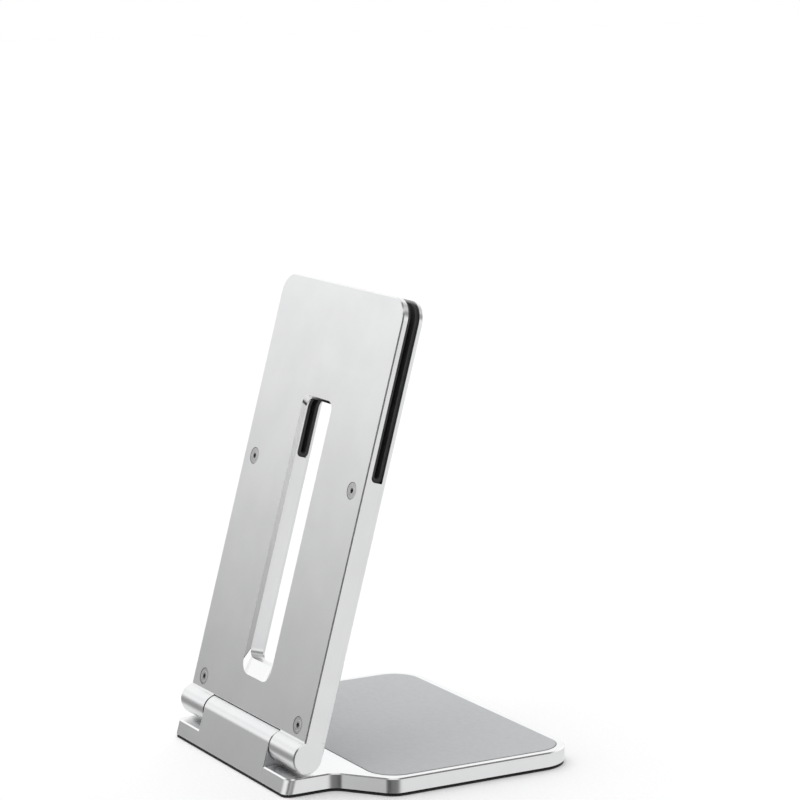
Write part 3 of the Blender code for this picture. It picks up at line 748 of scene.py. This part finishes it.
def make_end_cap():
    """The plug over the lock nut: a dimpled flange that stands off the knuckle's end by a thin seam."""
    low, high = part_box("hinge_end_cap")
    radius = (high.z - low.z) / 2
    plug = SPRING_POCKET_RADIUS - 0.15 * MM
    seat = ARM_HALF_WIDTH + CAP_SEAM
    edge = 0.4 * MM
    profile = [
        (plug, low.x),
        (plug, seat),
        (radius, seat),
        (radius, high.x - edge),
        (radius - edge, high.x),
        (radius * 0.45, high.x),
        (radius * 0.35, high.x - 0.15 * MM),
    ]
    cap = along_hinge(turned("end_cap", profile, BARREL_STEPS, cut_bands=(3,)))
    cap.data.transform(Matrix.Translation((0, HINGE.y, HINGE.z)))
    finish_piece(cap, "arm", "satin_aluminium", "hinge_end_cap")


make_base()
make_arm_body()
make_front_cover()
make_liner()
make_screws()
make_end_cap()

INNER_FINISHES = {
    "hinge_bush": BRONZE,
    "friction_washer": NYLON,
    "disc_spring": STEEL,
    "spring_seat": STEEL,
    "hinge_lock_nut": STEEL,
    "hinge_shaft": STEEL,
    "press_nut": STEEL,
}
for name, node in frame["nodes"].items():
    for start, finish in INNER_FINISHES.items():
        if name.startswith(start):
            node.data.materials.clear()
            node.data.materials.append(finish)


# ---------------------------------------------------------------- studio


def panel(name, corners, finish):
    mesh = bpy.data.meshes.new(name)
    mesh.from_pydata(corners, [], [tuple(range(len(corners)))])
    mesh.materials.append(finish)
    made = bpy.data.objects.new(name, mesh)
    bpy.context.scene.collection.objects.link(made)
    return made


def make_floor():
    made, nodes, links, shader = new_material("floor_paper")
    where = nodes.new("ShaderNodeTexCoord").outputs["Object"]
    fibre = noise(nodes, links, where, 700, 3)
    links.new(tint(nodes, links, fibre, (0.90, 0.90, 0.90), (0.93, 0.93, 0.93)), shader.inputs["Base Color"])
    shader.inputs["Roughness"].default_value = 0.85
    shader.inputs["Specular IOR Level"].default_value = 0.2
    half = 6
    floor = panel("floor", [(-half, -half, 0), (half, -half, 0), (half, half, 0), (-half, half, 0)], made)
    floor.visible_glossy = False


def map_range(nodes, links, value, from_range, to_range):
    node = nodes.new("ShaderNodeMapRange")
    node.interpolation_type = "SMOOTHSTEP"
    node.inputs["From Min"].default_value, node.inputs["From Max"].default_value = from_range
    node.inputs["To Min"].default_value, node.inputs["To Max"].default_value = to_range
    links.new(value, node.inputs["Value"])
    return node.outputs["Result"]


def vector_math(nodes, links, operation, first, second=None):
    node = nodes.new("ShaderNodeVectorMath")
    node.operation = operation
    links.new(first, node.inputs[0])
    if second:
        node.inputs[1].default_value = second
    return node.outputs["Value" if operation == "DOT_PRODUCT" else "Vector"]


def maths(nodes, links, operation, first, second):
    node = nodes.new("ShaderNodeMath")
    node.operation = operation
    for socket, value in zip(node.inputs, (first, second)):
        if isinstance(value, float):
            socket.default_value = value
        else:
            links.new(value, socket)
    return node.outputs["Value"]


# How bright the surround is, over a range of heights: it rises past the horizon and falls off overhead.
HORIZON = ((-0.05, 0.15), (0.9, 1.17))
OVERHEAD = ((0.4, 0.8), (1.0, 0.78))

# Grey flags round the set, which only reflections see: the bearing of each one's middle, how far it reaches to
# each side at full depth and in all, the heights of its foot and top, how softly they end, and the light it leaves.
FLAGS = [
    (25, 28, 52, -0.3, -0.03, 0.14, 0.33),
    (155, 24, 40, -0.5, -0.14, 0.3, 0.14),
    (126, 8, 14, -1.0, 0.7, 0.15, 0.08),
    (106, 8, 22, -0.5, 0.0, 0.2, 0.85),
    (207, 22, 40, 0.35, 0.6, 0.12, 0.1),
    (30, 8, 18, 0.3, 0.4, 0.08, 0.78),
    (250, 30, 55, 0.74, 0.92, 0.1, 0.2),
    (68, 20, 45, 0.78, 0.96, 0.1, 0.25),
]


SUN_STRENGTH = 1.25
SUN_SPREAD = math.radians(70)
SUN_TILT = (math.radians(-8), math.radians(12), 0)

CAMERA_PLACE = (-1.0359, 0.5752, 0.3562)
CAMERA_AZIMUTH = math.radians(240.15)
CAMERA_ELEVATION = math.radians(9.86)
CAMERA_LENS = 128.37


def make_world():
    """A white studio, bright above and softer below, with the flags. The camera itself sees plain white."""
    world = bpy.data.worlds.new("studio")
    bpy.context.scene.world = world
    world.use_nodes = True
    nodes, links = world.node_tree.nodes, world.node_tree.links
    where = nodes.new("ShaderNodeTexCoord").outputs["Generated"]
    height = vector_math(nodes, links, "DOT_PRODUCT", where, (0, 0, 1))
    flat = vector_math(nodes, links, "NORMALIZE", vector_math(nodes, links, "MULTIPLY", where, (1, 1, 0)))
    level = map_range(nodes, links, height, *HORIZON)
    level = maths(nodes, links, "MULTIPLY", level, map_range(nodes, links, height, *OVERHEAD))
    for bearing, full, reach, foot, top, fade, left in FLAGS:
        towards = (math.cos(math.radians(bearing)), math.sin(math.radians(bearing)), 0)
        facing = vector_math(nodes, links, "DOT_PRODUCT", flat, towards)
        span = (math.cos(math.radians(reach)), math.cos(math.radians(full)))
        across = map_range(nodes, links, facing, span, (0, 1))
        below = map_range(nodes, links, height, (top, top + fade), (1, 0))
        above = map_range(nodes, links, height, (foot - fade, foot), (0, 1))
        upright = maths(nodes, links, "MULTIPLY", below, above)
        taken = maths(nodes, links, "MULTIPLY", maths(nodes, links, "MULTIPLY", across, upright), 1.0 - left)
        level = maths(nodes, links, "MULTIPLY", level, maths(nodes, links, "SUBTRACT", 1.0, taken))
    strength = nodes.new("ShaderNodeMapRange")
    strength.inputs["To Max"].default_value = 1.0
    links.new(nodes.new("ShaderNodeLightPath").outputs["Is Camera Ray"], strength.inputs["Value"])
    links.new(level, strength.inputs["To Min"])
    background = nodes["Background"]
    background.inputs["Color"].default_value = (1, 1, 1, 1)
    links.new(strength.outputs["Result"], background.inputs["Strength"])


def make_sun():
    """A very wide overhead source, which lights the floor evenly and leaves a soft shadow."""
    light = bpy.data.lights.new("overhead", "SUN")
    light.energy = SUN_STRENGTH
    light.angle = SUN_SPREAD
    sun = bpy.data.objects.new("overhead", light)
    bpy.context.scene.collection.objects.link(sun)
    sun.rotation_euler = SUN_TILT
    sun.visible_glossy = False


def make_camera():
    camera = bpy.data.objects.new("camera", bpy.data.cameras.new("camera"))
    bpy.context.scene.collection.objects.link(camera)
    back = Vector(
        (
            math.sin(CAMERA_AZIMUTH) * math.cos(CAMERA_ELEVATION),
            -math.cos(CAMERA_AZIMUTH) * math.cos(CAMERA_ELEVATION),
            math.sin(CAMERA_ELEVATION),
        )
    )
    camera.location = CAMERA_PLACE
    camera.rotation_euler = (-back).to_track_quat("-Z", "Y").to_euler()
    camera.data.sensor_width = 36
    camera.data.lens = CAMERA_LENS
    camera.data.clip_start = 0.05
    bpy.context.scene.camera = camera


make_floor()
make_world()
make_sun()
make_camera()
bpy.context.scene.view_settings.view_transform = "Standard"
